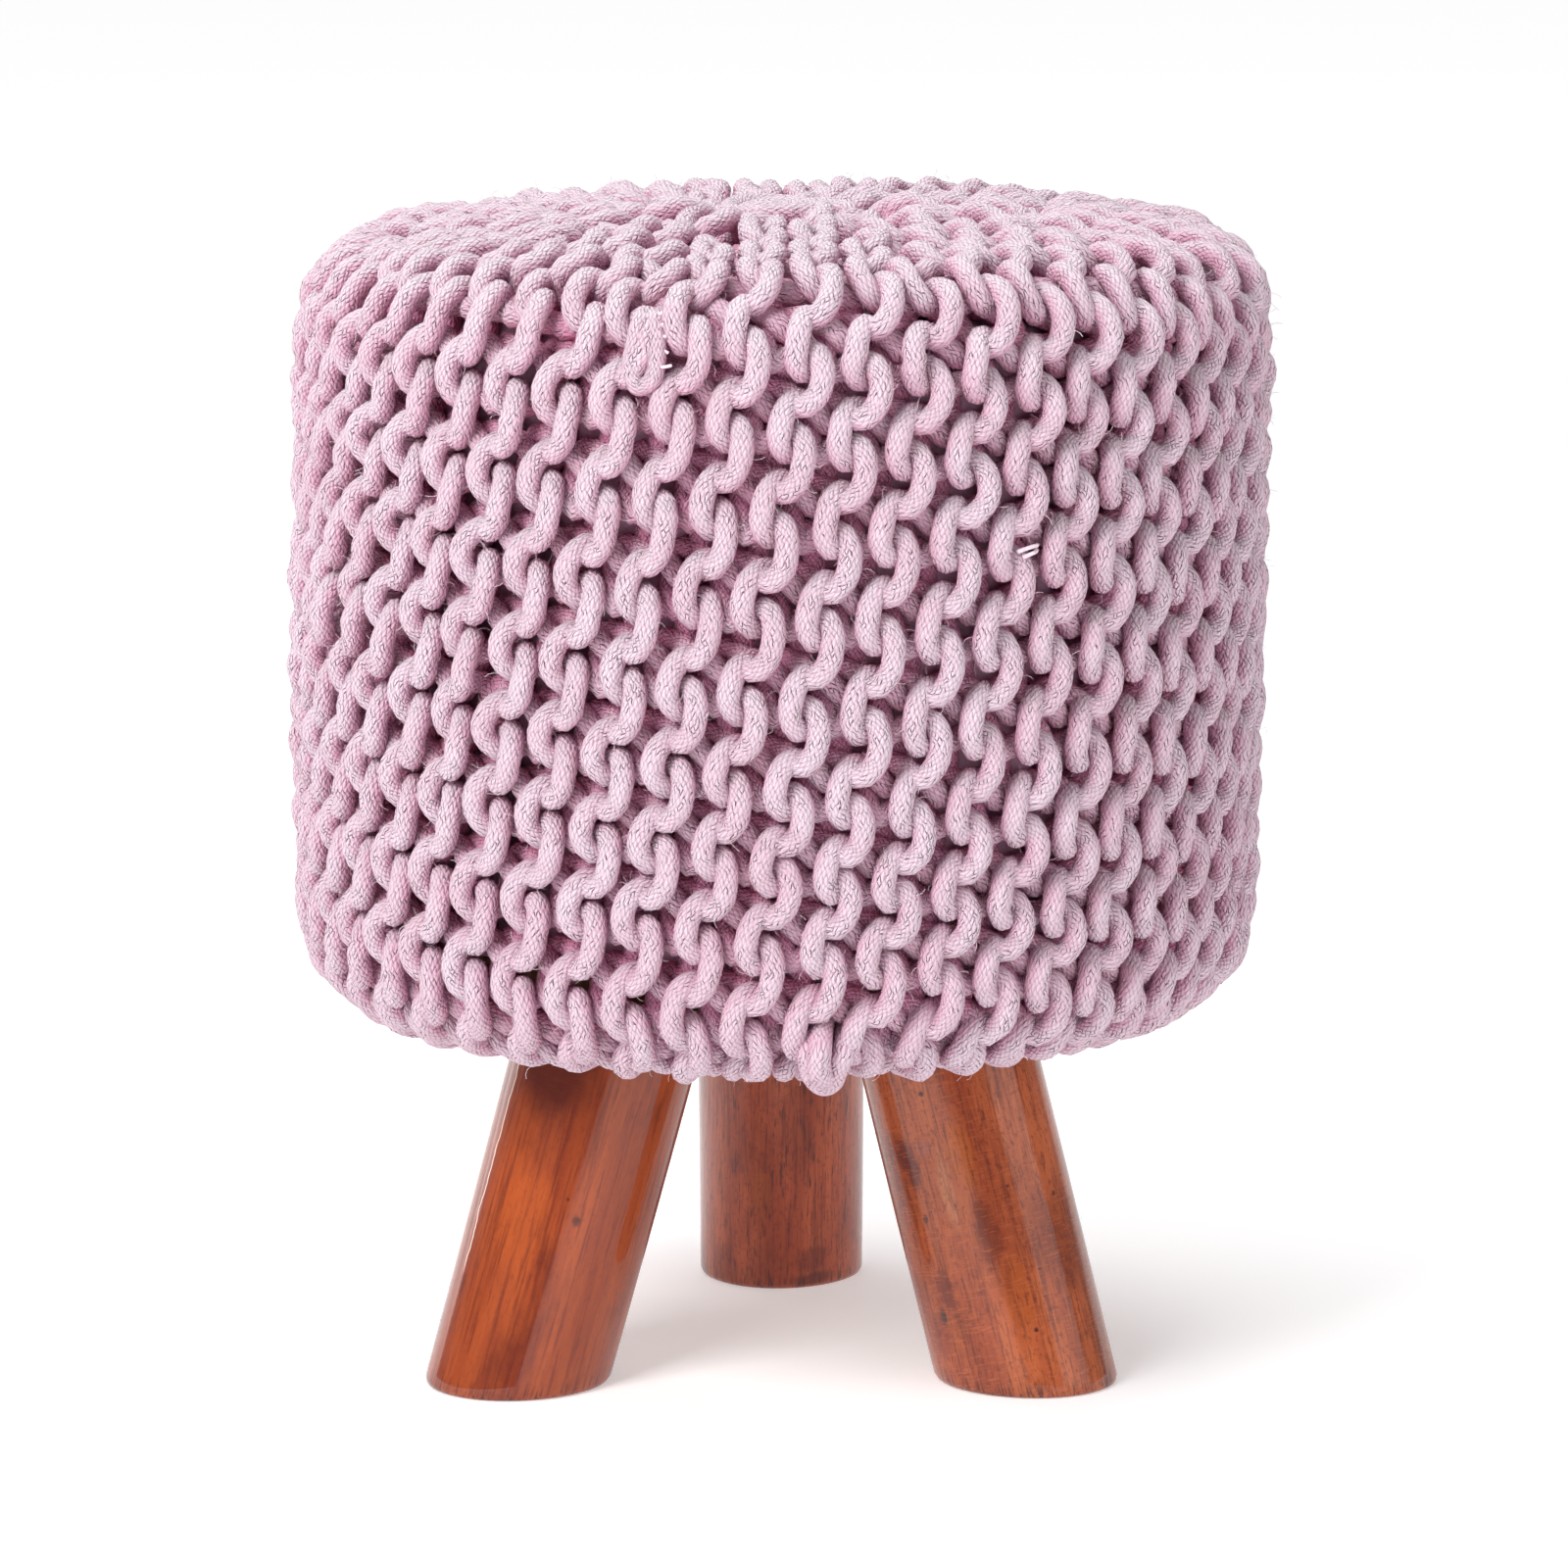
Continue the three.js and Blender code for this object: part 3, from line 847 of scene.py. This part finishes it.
# ------------------------------------------------------------------ the legs
LEG_TOP = 149.5 * MM
FOOT_ROUNDING = 2.2 * MM
LEG_UNEVENNESS = 0.22 * MM
LEG_SEGMENTS = 72
LEG_RINGS = 44
# Of each leg: azimuth from the front, how far out its foot is, splay, and its diameter at foot and top.
LEGS = {
    "leg_front_left": (-60, 110.5, 17.7, 64.4, 66.8),
    "leg_front_right": (60, 103.9, 15.9, 64.1, 64.1),
    "leg_back": (180, 106.4, 16.8, 62.6, 62.6),
}


def turned_leg(node, material, seed):
    """A splayed round leg cut level at both ends; its skin keeps places in the leg's own straight frame."""
    azimuth, foot_radius, splay, foot_size, top_size = LEGS[node]
    azimuth, splay = math.radians(azimuth), math.radians(splay)
    out = np.array([math.sin(azimuth), -math.cos(azimuth)])
    side = np.array([math.cos(azimuth), math.sin(azimuth)])
    own = np.random.default_rng(seed)
    bends = own.normal(0, 1, (5, 3))
    segments = LEG_SEGMENTS
    levels = [(0, FOOT_ROUNDING), (FOOT_ROUNDING * 0.29, FOOT_ROUNDING * 0.29)]
    levels += [(h, 0) for h in np.linspace(FOOT_ROUNDING, LEG_TOP, LEG_RINGS)]
    verts, places, faces = [], [], []
    for height, inset in levels:
        centre = out * (foot_radius * MM - height * math.tan(splay))
        radius = (foot_size + (top_size - foot_size) * height / LEG_TOP) * MM / 2
        for i in range(segments):
            angle = 2 * math.pi * i / segments
            uneven = 0
            for n in range(1, 4):
                strength, turn, change = bends[:3, n - 1]
                wave = strength * math.cos(n * angle + 3 * turn + height * 14 * change)
                uneven += LEG_UNEVENNESS * wave
            across = radius + uneven - inset
            flat = side * across * math.sin(angle) + out * across * math.cos(angle) / math.cos(splay)
            verts.append((*(centre + flat), height))
            lift = height / math.cos(splay) - across * math.cos(angle) * math.tan(splay)
            places.append((across * math.sin(angle), across * math.cos(angle), lift))
    for ring in range(len(levels) - 1):
        for i in range(segments):
            j = (i + 1) % segments
            a, b = ring * segments, (ring + 1) * segments
            faces.append((a + i, b + i, b + j, a + j))
    last = (len(levels) - 1) * segments
    faces.append(list(range(segments)))
    faces.append([last + i for i in reversed(range(segments))])
    mesh = skin_mesh(node + "_turned", verts, faces, material)
    keep = mesh.attributes.new("leg_place", "FLOAT_VECTOR", "POINT")
    keep.data.foreach_set("vector", np.array(places).ravel())
    mesh.update()
    return add_piece(node + "_turned", mesh)


# ------------------------------------------------------------------ stage, lights and camera
FLOOR_REACH = 24.0


def add_stage():
    """A plain pale floor that brightens away from the stool."""
    w = Finish("pale_floor", rough=0.9)
    w.set("Base Color", (0.82, 0.82, 0.82))
    w.set("Emission Color", (1, 1, 1))
    away = w.vector("LENGTH", w.place())
    w.set("Emission Strength", w.between(away, 0.7, 5.0, 0.40, 0.85))
    corners = [(x * FLOOR_REACH, y * FLOOR_REACH, 0) for x, y in ((-1, -1), (1, -1), (1, 1), (-1, 1))]
    mesh = bpy.data.meshes.new("floor")
    mesh.from_pydata(corners, [], [(0, 1, 2, 3)])
    mesh.materials.append(w.material)
    add_piece("floor", mesh)


def area_light(name, place, target, size, power):
    """A rectangular soft box that looks at its target."""
    light = bpy.data.lights.new(name, "AREA")
    light.shape = "RECTANGLE"
    light.size, light.size_y = size
    light.energy = power
    lamp = add_piece(name, light)
    lamp.location = place
    lamp.rotation_euler = (Vector(target) - Vector(place)).to_track_quat("-Z", "Y").to_euler()
    return lamp


def add_lights():
    """A soft key from the upper left, a wide soft box on the right, one overhead and a broad fill."""
    world = bpy.data.worlds.new("studio")
    world.use_nodes = True
    sky = world.node_tree.nodes["Background"].inputs
    sky["Color"].default_value = (1, 1, 1, 1)
    sky["Strength"].default_value = 0.14
    bpy.context.scene.world = world
    seat = (0, 0, 0.26)
    area_light("key", (-1.7, -2.1, 2.3), seat, (1.5, 1.5), 95)
    area_light("right_box", (2.0, -1.15, 0.75), (0, 0, 0.35), (1.7, 1.5), 11)
    area_light("overhead", (-0.3, 0.5, 2.6), seat, (2.2, 2.2), 50)
    for name, side, power in (("fill_left", -1.0, 16), ("fill_right", 1.0, 14)):
        fill = area_light(name, (2.3 * side, -2.6, 1.1), seat, (2.6, 2.0), power)
        fill.visible_glossy = False
    area_light("rear_panel", (-1.9, 1.9, 0.6), (0, 0, 0.15), (1.4, 1.2), 9)


CAMERA_DIP = 0.1767  # how far it looks below the level, in radians


def add_camera():
    """A long lens a little above the seat, level with the middle of the frame."""
    lens = bpy.data.cameras.new("camera")
    lens.sensor_width = 36
    lens.lens = 152.99
    camera = add_piece("camera", lens)
    camera.location = (1.6 * MM, -2.4, 0.6382)
    camera.rotation_euler = (math.pi / 2 - CAMERA_DIP, 0, 0)
    bpy.context.scene.camera = camera


# ------------------------------------------------------------------ the footstool
add_camera()
cord_tree = braided_cord_tree()
cotton = braided_cotton()
panels = []
for number in range(PANELS):
    first_row = number * ROWS // PANELS
    rows = [cord_row(row) for row in range(first_row, first_row + ROWS // PANELS)]
    panel_name = f"knit_panel_{number + 1}"
    panel = swept_cord(panel_name, rows, cord_tree, cotton, CORD_RADIUS, CORD_SIDES, CORD_LUMPS)
    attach(panel, "root")
    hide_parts("knitted_cover")
    panels.append(panel)

loose = loose_cotton()
fibres = loose_fibres("stray_fibres", panels, loose, FIBRES_PER_SQUARE_METRE, FIBRE_LENGTH, FIBRE_RADIUS, 4)
fluff = FLUFF_MIDDLE + rng.normal(0, 1, (16, 3)) * FLUFF_SPREAD
for mesh_name, lines, finish, radius, sides, lumps in (
    ("tucked_end", [on_drum(TUCKED_END)], cotton, 3.3 * MM, 12, 1.2 * MM),
    ("tucked_end_yarns", [on_drum(marks) for marks in TUCKED_YARNS], loose, 0.6 * MM, 8, 0.3 * MM),
    ("yarn_stubs", [on_drum(marks) for marks in YARN_STUBS], loose, 0.75 * MM, 8, 0.3 * MM),
    ("cotton_fluff", [on_drum(fluff)], loose, 0.35 * MM, 6, 0),
    ("hem_bight", [np.array(marks) * MM for marks in HEM_BIGHT], cotton, CORD_RADIUS, 12, 0.5 * MM),
    ("crown_coil", [crown_coil()], cotton, CORD_RADIUS, 12, 0.8 * MM),
):
    smooth_lines = [smooth_line(line) for line in lines]
    laid = [(line, np.full(len(line), LOOP_FRONT)) for line in smooth_lines]
    piece = swept_cord(mesh_name, laid, cord_tree, finish, radius, sides, lumps)
    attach(piece, "root")
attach(fibres, "root")

pad = filled_pad(casing_cloth())
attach(pad, "root")
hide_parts("filled_pad")

DARK_RED = (0.11, 0.014, 0.008)
KNOT = (0.075, 0.013, 0.010)
PIN_HOLE = (0.020, 0.008, 0.008)
LEFT_MARKS = (
    ((19.2, 26.6, 60), 9.0, 2.3, 0.65, (0.46, 0.088, 0.016), 0),
    ((22.5, 23.9, 30), 8.0, 1.8, 0.40, (0.46, 0.090, 0.020), 0),
    # A dark patch over the top of the leg: painted shadow under the seat.
    ((16.9, 28.1, 116), 15.0, 1.2, 0.80, (0.085, 0.012, 0.009), 0),
    ((30.8, 11.2, 63.9), 1.5, 1.3, 0.85, KNOT, 1.5),
    ((28.7, 15.8, 70.7), 0.6, 1.0, 0.90, KNOT, 1.0),
    ((0.6, 32.8, 30.2), 1.6, 3.0, 0.50, KNOT, 0),
)
RIGHT_MARKS = (
    ((-29.5, 12.6, 88), 5.0, 2.5, 0.70, (0.46, 0.105, 0.016), 0),
    ((-28.4, 14.9, 57.4), 4.5, 3.0, 0.70, (0.15, 0.026, 0.012), 0),
    ((-25.2, 19.8, 33.5), 5.0, 3.0, 0.60, (0.36, 0.075, 0.012), 0),
    ((-31.7, 4.5, 74.8), 2.6, 5.0, 0.60, (0.56, 0.22, 0.10), 0),
    ((-32.0, -0.9, 92.4), 3.2, 1.0, 0.55, (0.33, 0.10, 0.08), 0),
    ((-30.4, -10.1, 92), 3.6, 1.5, 0.75, (0.085, 0.020, 0.026), 1.0),
    ((-31.1, -7.6, 84), 2.8, 2.2, 0.75, (0.085, 0.018, 0.022), 1.0),
    ((-31.4, -6.2, 40.5), 3.6, 2.0, 0.80, (0.14, 0.028, 0.020), 0),
    ((-29.1, -13.5, 22.6), 4.5, 1.8, 0.60, (0.18, 0.028, 0.018), 0),
    ((-30.5, -10.0, 30.8), 1.4, 2.2, 0.95, (0.035, 0.025, 0.022), 2.0),
    ((-31.3, -7.1, 66.9), 1.0, 1.7, 0.85, KNOT, 1.5),
    ((-7.4, 31.2, 34.5), 2.4, 1.6, 0.40, KNOT, 0),
    ((-31.1, 7.9, 58.3), 0.8, 1.0, 0.95, PIN_HOLE, 1.5),
    ((-21.5, 23.8, 72.2), 0.7, 1.0, 0.95, PIN_HOLE, 1.5),
    ((-5.0, 31.7, 65.0), 0.9, 1.0, 0.95, PIN_HOLE, 1.5),
    ((2.3, 32.0, 70.1), 0.6, 1.0, 0.90, PIN_HOLE, 1.5),
    ((-18.0, 26.5, 40.6), 0.6, 1.0, 0.90, PIN_HOLE, 1.5),
    ((-23.1, 22.2, 19.6), 0.8, 1.0, 0.95, PIN_HOLE, 1.5),
    ((-31.8, 3.7, 111.6), 1.0, 1.0, 0.90, PIN_HOLE, 1.5),
)
BACK_MARKS = (
    ((-13.0, -28.5, 21), 6.0, 1.0, 0.60, (0.12, 0.013, 0.010), 0),
    ((-13.6, -28.2, 12.5), 8.0, 0.35, 0.75, (0.10, 0.011, 0.009), 0),
    ((-7.2, -30.5, 84), 8.0, 2.6, 0.45, (0.20, 0.030, 0.012), 0),
    ((7.0, -30.5, 52), 4.0, 2.5, 0.45, (0.42, 0.095, 0.020), 0),
)
woods = {
    "leg_front_left": varnished_wood(
        "varnished_wood_left",
        (1.3, 4.1, 0.2),
        ((0.38, 0.072, 0.017), (0.26, 0.042, 0.012), DARK_RED),
        LEFT_MARKS,
        varnish=0.05,
        mottle=0.22,
        dashes=0.24,
        fiddle=0.10,
        # a painted reflection down the outer edge of the leg
        painted_reflection=0.9,
    ),
    "leg_front_right": varnished_wood(
        "varnished_wood_right",
        (7.7, 2.3, 0.9),
        ((0.50, 0.125, 0.042), (0.33, 0.062, 0.021), (0.12, 0.020, 0.011)),
        RIGHT_MARKS,
        varnish=0.11,
        mottle=0.55,
        dashes=0.45,
        fiddle=0.45,
    ),
    "leg_back": varnished_wood(
        "varnished_wood_back",
        (3.9, 9.2, 1.6),
        ((0.50, 0.105, 0.038), (0.34, 0.055, 0.019), (0.14, 0.019, 0.010)),
        BACK_MARKS,
        varnish=0.13,
        mottle=0.45,
        dashes=0.85,
        fiddle=0.0,
    ),
}
for number, node in enumerate(LEGS):
    leg = turned_leg(node, woods[node], 20 + number)
    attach(leg, "root")
    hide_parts(node)

plywood = board_plywood()
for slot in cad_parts["base_board"].material_slots:
    slot.material = plywood

add_stage()
add_lights()
bpy.context.scene.view_settings.view_transform = "Standard"
